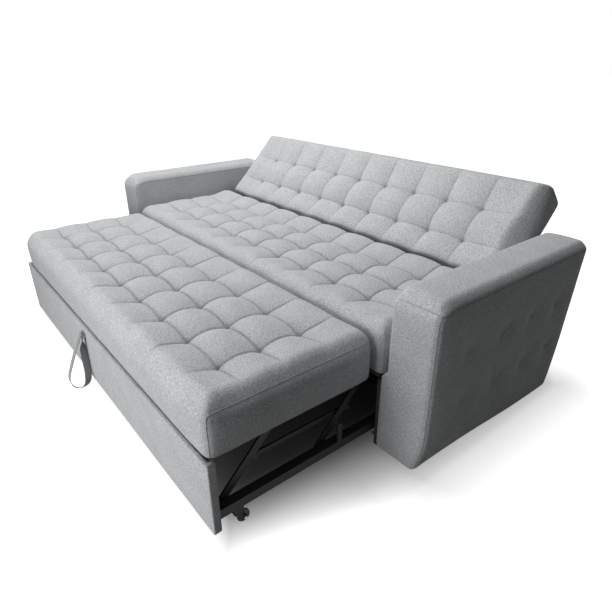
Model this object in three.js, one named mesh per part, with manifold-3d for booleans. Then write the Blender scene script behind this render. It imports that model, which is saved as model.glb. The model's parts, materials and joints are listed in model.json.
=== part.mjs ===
// Sleeper sofa with a pull-out bed, modelled as an assembly.
// Units are millimetres, +Z is up, +X is the sofa's width and the front faces -Y.
// The origin is on the floor, at the middle of the whole outline seen from above.
// Depths in the sizes below are counted from the plane of the arms' fronts.
// The bed stands pulled out and raised, and the backrest is reclined, as the sofa is shown.

import * as THREE from 'three';
import { mergeVertices } from 'three/addons/utils/BufferGeometryUtils.js';
import Module from 'manifold-3d';

const wasm = await Module();
wasm.setup();

// The middle of the whole outline, from the plane of the arms' fronts
const outlineMiddle = 147.2;

// Clearances
const seatGap = 0.3;
const runGap = 0.4;
const cutOverrun = 2;

// Arms
const armSpacing = 1764;
const armWidth = 168;
const armHeight = 588;
const armDepthTop = 822;
const armDepthBottom = 752;
const armLean = 29;
const armFootHeight = 175;
const armCrown = 5;
const armEdgeInset = 15;
const armEdgeDrop = 17;
const armDrawIn = 3;
const armPuff = 7;
const armPanelThickness = 30;
const armPanelInset = 62;
const armPanelFront = 50;
const armPanelDepth = 640;
const armPanelHeight = 500;
const armTuftShares = { across: [0, 0.19, 0.4, 0.61, 0.82, 1], along: [0, 0.37, 0.67, 1] };

// Glides and base
const glideHeight = 12;
const glideDepth = 60;
const glideInset = 44;
const glideOverhang = 22;
const sideBoardThickness = 14;
const sideBoardFront = 10;
const sideBoardTop = 267;
const rearBoardThickness = 18;
const rearBoardBottom = 60;
const deckBoardThickness = 18;
const seatRailDepth = 46;
const seatRailHeight = 18;
const seatRailFront = 16;

// Tufted cushions
const cushionThickness = 143;
const cushionCrown = 9;
const cushionPuff = 17;
const cushionEdgeInset = 13;
const cushionEdgeDrop = 15;
const cushionSoleInset = 6;
const cushionSoleDrop = 8;
const cushionDrawIn = 6;
const seamShare = 0.55;
const armSeamShare = 0.5;
const evenShares = (count) => Array.from({ length: count + 1 }, (unused, i) => i / count);
const edgedShares = (count, edgeShare) =>
  [0, ...evenShares(count - 2).map((share) => edgeShare + share * (1 - 2 * edgeShare)), 1];
const bedTuftShares = { across: edgedShares(10, 0.0915), along: [0, 0.23, 0.47, 0.725, 1] };
const seatTuftShares = { across: edgedShares(10, 0.115), along: [0, 0.26, 0.5, 0.74, 1] };
const backTuftShares = { across: edgedShares(10, 0.112), along: [0, 0.26, 0.6, 1] };

// Seat cushion
const seatHalfWidth = 889;
const seatFront = 3;
const seatDepth = 545;

// Backrest, measured in its own frame: along its height and through its thickness
const backHalfWidth = 868;
const backHeight = 430;
const backThickness = 134;
const backFoamThickness = 92;
const backBoardThickness = 24;
const backBoardInset = 14;
const backFootY = 577;
const backFootZ = 442;
const backRecline = 45;
const backPivotDepth = 40;
const hingePlateThickness = 4;
const hingePlateReach = 96;
const hingeBossRadius = 15;
const hingeTrack = 3;
const hingePinRadius = 6;
const hingeFootDepth = 74;
const hingeFootWidth = 44;
const hingeFootThickness = 4;

// Pull-out carriage
const railTube = 30;
const railOuter = 864;
const railCentreZ = 85;
const railRear = 228;
const panelFront = -590;
const panelBack = -561;
const panelHalfWidth = 876;
const panelBottom = 38;
const panelTop = 263;
const panelShoulder = 253;
const panelLip = 15.5;
const panelPuff = 5;
const panelEdgeInset = 8;
const panelEdgeDrop = 9;
const panelDrawIn = 2;
const panelBoardThickness = 12;
const panelRim = 11;
const crossTube = 26;
const crossTubeY = 204;
const guideDepth = 18;
const guideThickness = 5;
const guideY = -140;
const guideHeight = 66;

// Casters at the front of the carriage
const casterY = -500;
const casterPost = 26;
const casterPostHeight = 22;
const casterTrail = 16;
const casterWheelRadius = 20;
const casterWheelWidth = 15;
const casterHubRadius = 8;
const casterTreadRound = 3;
const forkThickness = 3;
const forkDepth = 30;
const forkHeadHeight = 4;
const forkShoulder = 15;
const forkGap = 1.5;
const axleRadius = 3;
const axleHead = 2.2;
const axleHeadRadius = 5;

// Rear rollers and their tracks
const rollerRadius = 13;
const rollerWidth = 14;
const rollerPinRadius = 4;
const rollerZ = 50;
const rollerGroove = 1.2;
const rollerPlate = 5;
const rollerPlateDepth = 30;
const rollerPlateDrop = 7.5;
const trackWall = 2.6;
const trackDepth = 20;
const trackFront = 20;
const trackEndGap = 9;

// Lifting linkage
const linkLength = 232;
const liftAngle = 45;
const linkWidth = 25;
const linkThickness = 6;
const linkGap = 5;
const linkFrontY = -540;
const linkRearY = -199;
const linkPinRadius = 5;
const linkHeadRadius = 8.5;
const linkTubeRadius = 8;
const tieHeight = 13;
const tieEyeWall = 2.6;
const tieAlongLink = 150;
const tieOffLink = 22;
const tieThickness = 6;
const tieGap = 3;

// Bed deck and its cushion
const bedHalfWidth = 857;
const bedFront = -573;
const bedRear = -9;
const bedCushionBottom = 266;
const bedBoardThickness = 9;
const bedBoardInset = 16;
const deckRailWidth = 25;
const deckRailGap = 5;
const deckRailInset = 16;
const deckRearInset = 4;

// Pull strap
const strapX = -42;
const strapTopZ = 251;
const strapDrop = 226;
const strapReach = 80;
const strapWidth = 25;
const strapThickness = 3;
const strapPatchHeight = 15;
const strapPatchRim = 3;
const strapPatchSeat = 3.5;
const strapSteps = 40;
const strapPathShares = [
  [0, 0], [0.1, 0.14], [0.13, 0.45], [0.16, 0.8], [0.28, 0.95], [0.54, 1],
  [0.85, 0.94], [1, 0.78], [0.64, 0.42], [0.07, 0],
];
const strapTwistShares = { untwist: [0.04, 0.16], twist: [0.36, 0.58] };

// Facet counts
const roundSides = 12;
const wheelSides = 20;
const cellSteps = 4;

const sides = [['left', -1], ['right', 1]];

// Materials
const paint = (color, roughness, metalness = 0) =>
  new THREE.MeshStandardMaterial({ color, roughness, metalness });
const fabric = () => paint(0xa9adb0, 0.95);
const webbing = () => paint(0x4a4b4d, 0.7);
const timber = () => paint(0xb99a6b, 0.8);
const ply = () => paint(0xa98a5e, 0.8);
const blackSteel = () => paint(0x1b1b1c, 0.45, 0.6);
const zincSteel = () => paint(0xb4b6b8, 0.3, 0.9);
const blackPlastic = () => paint(0x151515, 0.5);
const wheelRubber = () => paint(0x222222, 0.6);

const part = new THREE.Group();

function addMesh(parent, name, geometry, material, x = 0, y = 0, z = 0) {
  const mesh = new THREE.Mesh(geometry, material);
  mesh.name = name;
  mesh.position.set(x, y, z);
  parent.add(mesh);
  return mesh;
}

// Solid helpers

function toSolid(geometry) {
  const bare = geometry.clone();
  bare.deleteAttribute('normal');
  bare.deleteAttribute('uv');
  const merged = mergeVertices(bare);
  return new wasm.Manifold(new wasm.Mesh({
    numProp: 3,
    vertProperties: new Float32Array(merged.attributes.position.array),
    triVerts: new Uint32Array(merged.index.array),
  }));
}

function toGeometry(solid) {
  const mesh = solid.getMesh();
  const geometry = new THREE.BufferGeometry();
  geometry.setAttribute('position', new THREE.BufferAttribute(mesh.vertProperties, 3));
  geometry.setIndex(new THREE.BufferAttribute(mesh.triVerts, 1));
  geometry.computeVertexNormals();
  return geometry;
}

const cut = (body, ...tools) =>
  toGeometry(tools.reduce((solid, tool) => solid.subtract(toSolid(tool)), toSolid(body)));

const join = (body, ...others) =>
  toGeometry(others.reduce((solid, other) => solid.add(toSolid(other)), toSolid(body)));

// A box between two corners
function span(x0, x1, y0, y1, z0, z1) {
  const geometry = new THREE.BoxGeometry(Math.abs(x1 - x0), Math.abs(y1 - y0), Math.abs(z1 - z0));
  geometry.translate((x0 + x1) / 2, (y0 + y1) / 2, (z0 + z1) / 2);
  return geometry;
}

// A cylinder along X between two places
function rod(radius, x0, x1, y, z, count = roundSides) {
  const geometry = new THREE.CylinderGeometry(radius, radius, Math.abs(x1 - x0), count);
  geometry.rotateZ(Math.PI / 2);
  geometry.translate((x0 + x1) / 2, y, z);
  return geometry;
}

// A plate in the YZ plane, pushed out along X from x0 to x1
function plate(points, x0, x1) {
  const shape = new THREE.Shape(points.map(([y, z]) => new THREE.Vector2(y, z)));
  const geometry = new THREE.ExtrudeGeometry(shape, { depth: Math.abs(x1 - x0), bevelEnabled: false });
  geometry.rotateX(Math.PI / 2);
  geometry.rotateZ(Math.PI / 2);
  geometry.translate(Math.min(x0, x1), 0, 0);
  return geometry;
}

// A flat bar with round ends between two places in the YZ plane
function roundEndedBar(from, to, width, x0, x1) {
  const run = Math.hypot(to[0] - from[0], to[1] - from[1]);
  const turn = Math.atan2(to[1] - from[1], to[0] - from[0]);
  const points = [];
  const half = roundSides / 2;
  for (let i = 0; i <= half; i += 1) {
    const angle = -Math.PI / 2 + (Math.PI * i) / half;
    points.push([run + (Math.cos(angle) * width) / 2, (Math.sin(angle) * width) / 2]);
  }
  for (let i = 0; i <= half; i += 1) {
    const angle = Math.PI / 2 + (Math.PI * i) / half;
    points.push([(Math.cos(angle) * width) / 2, (Math.sin(angle) * width) / 2]);
  }
  const placed = points.map(([y, z]) => [
    from[0] + y * Math.cos(turn) - z * Math.sin(turn),
    from[1] + y * Math.sin(turn) + z * Math.cos(turn),
  ]);
  return plate(placed, x0, x1);
}

// Soft forms

// How high a sewn cell stands at a point: nothing at its corners, a little along its seams
function cellRise(s, t, seams) {
  const qs = 1 - (2 * s - 1) ** 2;
  const qt = 1 - (2 * t - 1) ** 2;
  return (1 - seams) * Math.sqrt(qs * qt) + (seams * (qs + qt)) / 2;
}

// A closed pad on its back: a sewn face towards +Z with its edge at z = 0, and a flat underside
function sewnPad(options) {
  const { width, depth, thickness, crown, puff, inset, drop, drawIn, seams, shares, warp } = options;
  const { soleInset = inset, soleDrop = drop } = options;
  const columns = (shares.across.length - 1) * cellSteps;
  const rows = (shares.along.length - 1) * cellSteps;
  const positions = [];
  const triangles = [];
  const shareAt = (list, i) => {
    const cell = Math.min(Math.floor(i / cellSteps), list.length - 2);
    const within = (i - cell * cellSteps) / cellSteps;
    return [list[cell] + (list[cell + 1] - list[cell]) * within, within, cell];
  };
  const place = (u, v, insetHere, z) => {
    const pullX = drawIn * Math.sin(Math.PI * v);
    const pullY = drawIn * Math.sin(Math.PI * u);
    const x = (u - 1 / 2) * (width - 2 * (insetHere + pullX));
    const y = (v - 1 / 2) * (depth - 2 * (insetHere + pullY)) + depth / 2;
    const point = warp ? warp(x, y, z) : [x, y, z];
    positions.push(...point);
    return positions.length / 3 - 1;
  };
  const top = [];
  for (let j = 0; j <= rows; j += 1) {
    top.push([]);
    for (let i = 0; i <= columns; i += 1) {
      const [u, s, column] = shareAt(shares.across, i);
      const [v, t, row] = shareAt(shares.along, j);
      const onEdge = i === 0 || j === 0 || i === columns || j === rows;
      const outerS = column === 0 ? (1 + s) / 2 : column === shares.across.length - 2 ? s / 2 : s;
      const outerT = row === 0 ? (1 + t) / 2 : row === shares.along.length - 2 ? t / 2 : t;
      const swell = crown * Math.sqrt(Math.sin(Math.PI * u) * Math.sin(Math.PI * v));
      const z = onEdge ? 0 : swell + puff * cellRise(outerS, outerT, seams);
      top[j].push(place(u, v, inset, z));
    }
  }
  const border = [];
  for (let i = 0; i < columns; i += 1) border.push([i, 0]);
  for (let j = 0; j < rows; j += 1) border.push([columns, j]);
  for (let i = columns; i > 0; i -= 1) border.push([i, rows]);
  for (let j = rows; j > 0; j -= 1) border.push([0, j]);
  const rings = [border.map(([i, j]) => top[j][i])];
  const levels = [
    [drawIn / 2, -drop], [0, -thickness / 2], [drawIn / 2, soleDrop - thickness], [soleInset, -thickness],
  ];
  for (const [insetHere, z] of levels) {
    rings.push(border.map(([i, j]) => {
      const [u] = shareAt(shares.across, i);
      const [v] = shareAt(shares.along, j);
      return place(u, v, insetHere, z);
    }));
  }
  for (let j = 0; j < rows; j += 1) {
    for (let i = 0; i < columns; i += 1) {
      const [a, b, c, d] = [top[j][i], top[j][i + 1], top[j + 1][i + 1], top[j + 1][i]];
      if ((i + j) % 2) triangles.push(a, b, c, a, c, d);
      else triangles.push(a, b, d, b, c, d);
    }
  }
  for (let k = 0; k + 1 < rings.length; k += 1) {
    for (let n = 0; n < border.length; n += 1) {
      const m = (n + 1) % border.length;
      triangles.push(rings[k][n], rings[k + 1][n], rings[k + 1][m]);
      triangles.push(rings[k][n], rings[k + 1][m], rings[k][m]);
    }
  }
  const last = rings[rings.length - 1];
  const centre = place(1 / 2, 1 / 2, soleInset, -thickness);
  for (let n = 0; n < border.length; n += 1) {
    triangles.push(last[n], centre, last[(n + 1) % border.length]);
  }
  const geometry = new THREE.BufferGeometry();
  geometry.setAttribute('position', new THREE.Float32BufferAttribute(positions, 3));
  geometry.setIndex(triangles);
  geometry.computeVertexNormals();
  return geometry;
}

// The same solid on the other side of the sofa
function mirrored(geometry) {
  const copy = geometry.clone();
  copy.scale(-1, 1, 1);
  const index = copy.index.array;
  for (let i = 0; i < index.length; i += 3) {
    [index[i], index[i + 1]] = [index[i + 1], index[i]];
  }
  return copy;
}

const onSide = (geometry, side) => (side < 0 ? mirrored(geometry) : geometry);

// Arms: a timber panel in an upholstered pad, tufted on its outer face

const armInner = armSpacing / 2;
const innerLeanAt = (height) => (armLean * height) / armHeight;
const outerLeanAt = (height) => armLean * (1 - (1 - Math.min(height / armFootHeight, 1)) ** 2);

function armPadGeometry() {
  const padHeight = armHeight - glideHeight;
  const padThickness = armWidth - armCrown - armPuff - seatGap;
  const geometry = sewnPad({
    width: padHeight,
    depth: armDepthTop,
    thickness: padThickness,
    crown: armCrown,
    puff: armPuff,
    inset: armEdgeInset,
    drop: armEdgeDrop,
    drawIn: armDrawIn,
    seams: armSeamShare,
    shares: { across: armTuftShares.along, along: armTuftShares.across },
    warp: (x, y, z) => {
      const height = padHeight / 2 - x;
      const depthHere = armDepthBottom + ((armDepthTop - armDepthBottom) * height) / padHeight;
      const outerShare = THREE.MathUtils.clamp(1 + z / padThickness, 0, 1);
      const lean = outerShare * outerLeanAt(height) + (1 - outerShare) * innerLeanAt(height);
      const outward = armInner + seatGap + padThickness + z + lean;
      return [outward, (y * depthHere) / armDepthTop, height + glideHeight];
    },
  });
  const pocket = span(
    armInner + armPanelInset - seatGap, armInner + armPanelInset + armPanelThickness + seatGap,
    armPanelFront - seatGap, armPanelFront + armPanelDepth + seatGap,
    glideHeight - cutOverrun, glideHeight + armPanelHeight + seatGap,
  );
  return cut(geometry, pocket);
}

function addArms() {
  const pad = armPadGeometry();
  for (const [label, side] of sides) {
    addMesh(part, 'arm_pad_' + label, onSide(pad, side), fabric());
    const panel = span(
      armInner + armPanelInset, armInner + armPanelInset + armPanelThickness,
      armPanelFront, armPanelFront + armPanelDepth,
      glideHeight + seatGap, glideHeight + armPanelHeight,
    );
    addMesh(part, 'arm_frame_' + label, onSide(panel, side), timber());
    const glideEnd = armInner + armPanelInset + armPanelThickness + glideOverhang;
    const glideYs = [['front', glideInset], ['rear', armDepthBottom - glideInset - glideDepth]];
    for (const [place, y] of glideYs) {
      const glide = span(armInner - sideBoardThickness, glideEnd, y, y + glideDepth, 0, glideHeight - seatGap);
      addMesh(part, 'glide_' + place + '_' + label, onSide(glide, side), blackPlastic());
    }
  }
}

// Base: side boards, rear board, front rail and deck board under the seat

const sideBoardInner = armInner - sideBoardThickness;
const deckTop = sideBoardTop + seatGap + deckBoardThickness;
const rearBoardY = armDepthBottom - armEdgeInset - rearBoardThickness;
const trackRear = rearBoardY - trackEndGap;

function addBase() {
  for (const [label, side] of sides) {
    const board = span(
      sideBoardInner, armInner - seatGap,
      sideBoardFront, armDepthBottom - armEdgeInset, glideHeight, sideBoardTop,
    );
    addMesh(part, 'side_board_' + label, onSide(board, side), ply());
  }
  const boardEnd = sideBoardInner - seatGap;
  addMesh(part, 'rear_board', span(
    -boardEnd, boardEnd, rearBoardY, rearBoardY + rearBoardThickness, rearBoardBottom, sideBoardTop,
  ), ply());
  addMesh(part, 'seat_front_rail', span(
    -boardEnd, boardEnd, seatRailFront, seatRailFront + seatRailDepth, deckTop - seatRailHeight, deckTop,
  ), ply());
  addMesh(part, 'seat_deck', span(
    -armInner, armInner, seatRailFront + seatRailDepth + seatGap,
    rearBoardY + rearBoardThickness,
    sideBoardTop + seatGap, deckTop,
  ), ply());
}

function addSeatCushion() {
  const geometry = sewnPad({
    width: 2 * seatHalfWidth,
    depth: seatDepth,
    thickness: cushionThickness,
    crown: cushionCrown,
    puff: cushionPuff,
    inset: cushionEdgeInset,
    drop: cushionEdgeDrop,
    drawIn: cushionDrawIn,
    seams: seamShare,
    soleInset: cushionSoleInset,
    soleDrop: cushionSoleDrop,
    shares: seatTuftShares,
  });
  addMesh(part, 'seat_cushion', geometry, fabric(), 0, seatFront, deckTop + seatGap + cushionThickness);
}

// Backrest: foam cushion, board and rear cover, turned about pins at its foot

const back = new THREE.Group();
back.position.set(0, backFootY, backFootZ);
back.rotation.x = THREE.MathUtils.degToRad(backRecline);
part.add(back);
const reclineTurn = THREE.MathUtils.degToRad(backRecline);
const backPivotY = backFootY + backPivotDepth * Math.sin(reclineTurn);
const backPivotZ = backFootZ - backPivotDepth * Math.cos(reclineTurn);
const backPlateX = backHalfWidth + seatGap;
const fixedPlateX = backPlateX + hingePlateThickness + hingeTrack;

function addBackrest() {
  const cushion = sewnPad({
    width: 2 * backHalfWidth,
    depth: backHeight,
    thickness: backFoamThickness,
    crown: cushionCrown,
    puff: cushionPuff,
    inset: cushionEdgeInset,
    drop: cushionEdgeDrop,
    drawIn: cushionDrawIn,
    seams: seamShare,
    shares: backTuftShares,
  });
  addMesh(back, 'back_cushion', cushion, fabric());
  const boardTop = -backFoamThickness - seatGap;
  const boardBottom = boardTop - backBoardThickness;
  addMesh(back, 'back_frame', span(
    -backHalfWidth, backHalfWidth, backBoardInset, backHeight - backBoardInset, boardBottom, boardTop,
  ), timber());
  addMesh(back, 'back_cover', span(
    -backHalfWidth, backHalfWidth, backBoardInset / 2, backHeight - backBoardInset / 2,
    -backThickness, boardBottom - seatGap,
  ), fabric());
  for (const [label, side] of sides) {
    const swing = cut(
      join(
        rod(hingeBossRadius, backPlateX, backPlateX + hingePlateThickness, 0, -backPivotDepth),
        plate([
          [-hingeBossRadius / 2, -backPivotDepth],
          [hingeBossRadius / 2, -backPivotDepth + hingeBossRadius / 2],
          [hingePlateReach, boardTop],
          [hingePlateReach, boardBottom],
          [backBoardInset, boardBottom],
        ], backPlateX, backPlateX + hingePlateThickness),
      ),
      rod(hingePinRadius + runGap, backPlateX - cutOverrun,
        backPlateX + hingePlateThickness + cutOverrun, 0, -backPivotDepth),
    );
    addMesh(back, 'back_hinge_' + label, onSide(swing, side), zincSteel());
  }
}

function addReclinePlates() {
  const outerX = fixedPlateX + hingePlateThickness;
  for (const [label, side] of sides) {
    const upright = join(
      rod(hingeBossRadius, fixedPlateX, outerX, backPivotY, backPivotZ),
      plate([
        [backPivotY - hingeFootDepth / 2, deckTop + seatGap],
        [backPivotY + hingeFootDepth / 2, deckTop + seatGap],
        [backPivotY + hingeBossRadius, backPivotZ],
        [backPivotY - hingeBossRadius, backPivotZ],
      ], fixedPlateX, outerX),
      span(
        outerX - hingeFootWidth, outerX,
        backPivotY - hingeFootDepth / 2, backPivotY + hingeFootDepth / 2,
        deckTop + seatGap, deckTop + seatGap + hingeFootThickness,
      ),
    );
    const bored = cut(upright, rod(hingePinRadius + seatGap, fixedPlateX - cutOverrun,
      outerX + cutOverrun, backPivotY, backPivotZ));
    addMesh(part, 'recline_plate_' + label, onSide(bored, side), zincSteel());
    const pin = join(
      rod(hingePinRadius, backPlateX, outerX, backPivotY, backPivotZ),
      rod(linkHeadRadius, outerX + seatGap, outerX + hingeTrack, backPivotY, backPivotZ),
      rod(hingePinRadius, outerX - seatGap, outerX + hingeTrack, backPivotY, backPivotZ),
    );
    addMesh(part, 'recline_pin_' + label, onSide(pin, side), zincSteel());
  }
}

// Carriage: rails, upholstered front panel, cross tube and uprights

const railInner = railOuter - railTube;
const railBottom = railCentreZ - railTube / 2;
const railTop = railCentreZ + railTube / 2;
const liftTurn = THREE.MathUtils.degToRad(liftAngle);
const linkRise = linkLength * Math.sin(liftTurn);
const linkRun = linkLength * Math.cos(liftTurn);

function addFrontPanel() {
  const height = panelTop - panelBottom;
  const face = sewnPad({
    width: 2 * panelHalfWidth,
    depth: height,
    thickness: panelBack - panelFront - panelPuff,
    crown: panelPuff,
    puff: 0,
    inset: panelEdgeInset,
    drop: panelEdgeDrop,
    drawIn: panelDrawIn,
    seams: seamShare,
    shares: { across: evenShares(3), along: evenShares(1) },
    warp: (x, y, z) => [x, panelFront + panelPuff - z, panelBottom + y],
  });
  const boardFront = panelBack - panelBoardThickness;
  const pocket = span(
    -panelHalfWidth + panelRim - seatGap, panelHalfWidth - panelRim + seatGap,
    boardFront - seatGap, panelBack + cutOverrun,
    panelBottom + panelRim - seatGap, panelShoulder - panelRim + seatGap,
  );
  const shoulder = span(
    -panelHalfWidth - cutOverrun, panelHalfWidth + cutOverrun, panelFront + panelLip, panelBack + cutOverrun,
    panelShoulder, panelTop + cutOverrun,
  );
  addMesh(part, 'front_panel_pad', cut(face, pocket, shoulder), fabric());
  addMesh(part, 'front_panel_board', span(
    -panelHalfWidth + panelRim, panelHalfWidth - panelRim, boardFront, panelBack,
    panelBottom + panelRim, panelShoulder - panelRim,
  ), ply());
}

function addCarriage() {
  const railFront = panelBack + seatGap;
  for (const [label, side] of sides) {
    const tube = span(railInner, railOuter, railFront, railRear, railBottom, railTop);
    const holes = [linkFrontY, linkRearY].map((y) =>
      rod(linkPinRadius + runGap, railInner - cutOverrun, railOuter + cutOverrun, y, railCentreZ));
    addMesh(part, 'carriage_rail_' + label, onSide(cut(tube, ...holes), side), blackSteel());
    const upright = span(
      railOuter - guideThickness, railOuter, guideY - guideDepth / 2, guideY + guideDepth / 2,
      railTop + seatGap, railTop + guideHeight,
    );
    addMesh(part, 'guide_post_' + label, onSide(upright, side), blackSteel());
    const post = span(
      railInner + (railTube - casterPost) / 2, railOuter - (railTube - casterPost) / 2,
      casterY - casterPost / 2, casterY + casterPost / 2,
      railBottom - casterPostHeight, railBottom - seatGap,
    );
    addMesh(part, 'caster_post_' + label, onSide(post, side), blackSteel());
  }
  addMesh(part, 'carriage_cross_tube', span(
    -railInner + seatGap, railInner - seatGap, crossTubeY - crossTube / 2, crossTubeY + crossTube / 2,
    railCentreZ - crossTube / 2, railCentreZ + crossTube / 2,
  ), blackSteel());
}

// Casters: fork, wheel and axle under each post

function addCasters() {
  const headTop = railBottom - casterPostHeight - runGap;
  const wheelY = casterY + casterTrail;
  const cheekX = casterWheelWidth / 2 + forkGap;
  const profile = [
    [axleRadius + runGap, -casterWheelWidth / 2],
    [casterHubRadius, -casterWheelWidth / 2],
    [casterHubRadius, -casterWheelWidth / 2 + forkGap],
    [casterWheelRadius - casterTreadRound, -casterWheelWidth / 2 + forkGap],
    [casterWheelRadius, -casterWheelWidth / 2 + forkGap + casterTreadRound],
    [casterWheelRadius, casterWheelWidth / 2 - forkGap - casterTreadRound],
    [casterWheelRadius - casterTreadRound, casterWheelWidth / 2 - forkGap],
    [casterHubRadius, casterWheelWidth / 2 - forkGap],
    [casterHubRadius, casterWheelWidth / 2],
    [axleRadius + runGap, casterWheelWidth / 2],
    [axleRadius + runGap, -casterWheelWidth / 2],
  ].map(([r, y]) => new THREE.Vector2(r, y));
  for (const [label, side] of sides) {
    const x = railOuter - railTube / 2;
    const cheeks = [-1, 1].map((s) => roundEndedBar(
      [casterY, headTop - forkDepth / 2], [wheelY, casterWheelRadius], forkDepth / 2,
      x + s * cheekX, x + s * (cheekX + forkThickness),
    ));
    const shoulders = [-1, 1].map((s) => span(
      x + s * cheekX, x + s * (cheekX + forkThickness),
      casterY - forkShoulder / 2, casterY + forkShoulder / 2, headTop - forkDepth / 2, headTop,
    ));
    const head = span(
      x - cheekX - forkThickness, x + cheekX + forkThickness,
      casterY - forkDepth / 2, casterY + forkDepth / 2, headTop - forkHeadHeight, headTop,
    );
    const bore = rod(axleRadius + seatGap, x - cheekX - forkThickness - cutOverrun,
      x + cheekX + forkThickness + cutOverrun, wheelY, casterWheelRadius);
    const fork = cut(join(head, ...cheeks, ...shoulders), bore);
    addMesh(part, 'caster_fork_' + label, onSide(fork, side), blackSteel());
    const wheel = new THREE.LatheGeometry(profile, wheelSides);
    wheel.rotateZ(Math.PI / 2);
    wheel.translate(x, wheelY, casterWheelRadius);
    addMesh(part, 'caster_wheel_' + label, onSide(wheel, side), wheelRubber());
    const axleEnd = cheekX + forkThickness + seatGap;
    const axle = join(
      rod(axleRadius, x - axleEnd - axleHead / 2, x + axleEnd + axleHead / 2, wheelY, casterWheelRadius),
      rod(axleHeadRadius, x - axleEnd - axleHead, x - axleEnd, wheelY, casterWheelRadius),
      rod(axleHeadRadius, x + axleEnd, x + axleEnd + axleHead, wheelY, casterWheelRadius),
    );
    addMesh(part, 'caster_axle_' + label, onSide(axle, side), zincSteel());
  }
}

// Rear rollers: bracket with its pin, roller, and the channel it runs in

function addRollers() {
  const y = railRear - rollerPlateDepth / 2;
  const plateX = railInner + rollerPlate / 2;
  const rollerStart = plateX + rollerPlate + forkGap;
  const rollerEnd = rollerStart + rollerWidth;
  const profile = [
    [rollerPinRadius + runGap, rollerStart],
    [rollerRadius - rollerGroove, rollerStart],
    [rollerRadius, rollerStart + rollerGroove],
    [rollerRadius, rollerEnd - rollerGroove],
    [rollerRadius - rollerGroove, rollerEnd],
    [rollerPinRadius + runGap, rollerEnd],
    [rollerPinRadius + runGap, rollerStart],
  ].map(([r, x]) => new THREE.Vector2(r, x));
  for (const [label, side] of sides) {
    const bracket = join(
      span(plateX, plateX + rollerPlate, y - rollerPlateDepth / 2, y + rollerPlateDepth / 2,
        rollerZ - rollerPlateDrop, railBottom - seatGap),
      rod(rollerPinRadius, plateX + rollerPlate / 2, rollerEnd, y, rollerZ),
      rod(rollerPinRadius + runGap + axleHead / 2, rollerEnd + runGap, rollerEnd + axleHead / 2, y, rollerZ),
      rod(rollerPinRadius, rollerEnd - runGap, rollerEnd + axleHead / 2, y, rollerZ),
    );
    addMesh(part, 'roller_bracket_' + label, onSide(bracket, side), blackSteel());
    const roller = new THREE.LatheGeometry(profile, wheelSides);
    roller.rotateZ(-Math.PI / 2);
    roller.translate(0, y, rollerZ);
    addMesh(part, 'rear_roller_' + label, onSide(roller, side), blackPlastic());
    const webEnd = sideBoardInner - seatGap;
    const low = rollerZ - rollerRadius - seatGap;
    const high = rollerZ + rollerRadius + seatGap;
    const track = join(
      span(webEnd - trackWall, webEnd, trackFront, trackRear, low - trackWall, high + trackWall),
      span(webEnd - trackDepth, webEnd, trackFront, trackRear, low - trackWall, low),
      span(webEnd - trackDepth, webEnd, trackFront, trackRear, high, high + trackWall),
    );
    addMesh(part, 'roller_track_' + label, onSide(track, side), zincSteel());
  }
}

// Lifting linkage: four links, the tube that ties the front pair, and two tie bars

const linkOuter = railInner - linkGap;
const linkInner = linkOuter - linkThickness;
const tieOuter = linkInner - tieGap;
const tieInner = tieOuter - tieThickness;
const deckRailOuter = tieInner - deckRailGap;
const deckRailInner = deckRailOuter - deckRailWidth;

// A place on a link, from its lower pivot: so far along it, and so far off its line on the underside
const onLink = (pivotY, along, off) => [
  pivotY + along * Math.cos(liftTurn) + off * Math.sin(liftTurn),
  railCentreZ + along * Math.sin(liftTurn) - off * Math.cos(liftTurn),
];

function linkGeometry(pivotY) {
  const low = [pivotY, railCentreZ];
  const high = onLink(pivotY, linkLength, 0);
  const lugRoot = onLink(pivotY, tieAlongLink, 0);
  const tiePin = onLink(pivotY, tieAlongLink, tieOffLink);
  return join(
    roundEndedBar(low, high, linkWidth, linkInner, linkOuter),
    roundEndedBar(lugRoot, tiePin, 2 * linkHeadRadius, linkInner, linkOuter),
    rod(linkHeadRadius, linkOuter - linkThickness / 2, railInner - seatGap, ...low),
    rod(linkPinRadius, linkOuter - linkThickness / 2, railOuter - seatGap, ...low),
    rod(linkPinRadius, deckRailInner + seatGap, linkOuter - linkThickness / 2, ...high),
    rod(linkHeadRadius, deckRailOuter + seatGap, linkOuter - linkThickness / 2, ...high),
    rod(linkPinRadius, tieInner, linkOuter - linkThickness / 2, ...tiePin),
  );
}

function addLinkage() {
  const pairs = [['front', linkFrontY], ['rear', linkRearY]];
  for (const [place, pivotY] of pairs) {
    const link = linkGeometry(pivotY);
    for (const [label, side] of sides) {
      addMesh(part, 'lift_link_' + place + '_' + label, onSide(link, side), blackSteel());
    }
  }
  addMesh(part, 'lift_link_tube', rod(
    linkTubeRadius, -linkInner + seatGap, linkInner - seatGap, linkFrontY, railCentreZ,
  ), blackSteel());
  const [frontEnd, rearEnd] = [linkFrontY, linkRearY].map((y) => onLink(y, tieAlongLink, tieOffLink));
  const tieZ = frontEnd[1];
  const ends = [frontEnd[0], rearEnd[0]];
  const holes = ends.map((y) =>
    rod(linkPinRadius + runGap, tieInner - cutOverrun, tieOuter + cutOverrun, y, tieZ));
  const eyes = ends.map((y) =>
    rod(linkPinRadius + runGap + tieEyeWall, tieInner, tieOuter, y, tieZ));
  const bar = span(tieInner, tieOuter, ends[0], ends[1], tieZ - tieHeight / 2, tieZ + tieHeight / 2);
  const tie = cut(join(bar, ...eyes), ...holes);
  for (const [label, side] of sides) {
    addMesh(part, 'tie_bar_' + label, onSide(tie, side), blackSteel());
  }
}

// Bed: two deck rails, a board and the tufted cushion

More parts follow.
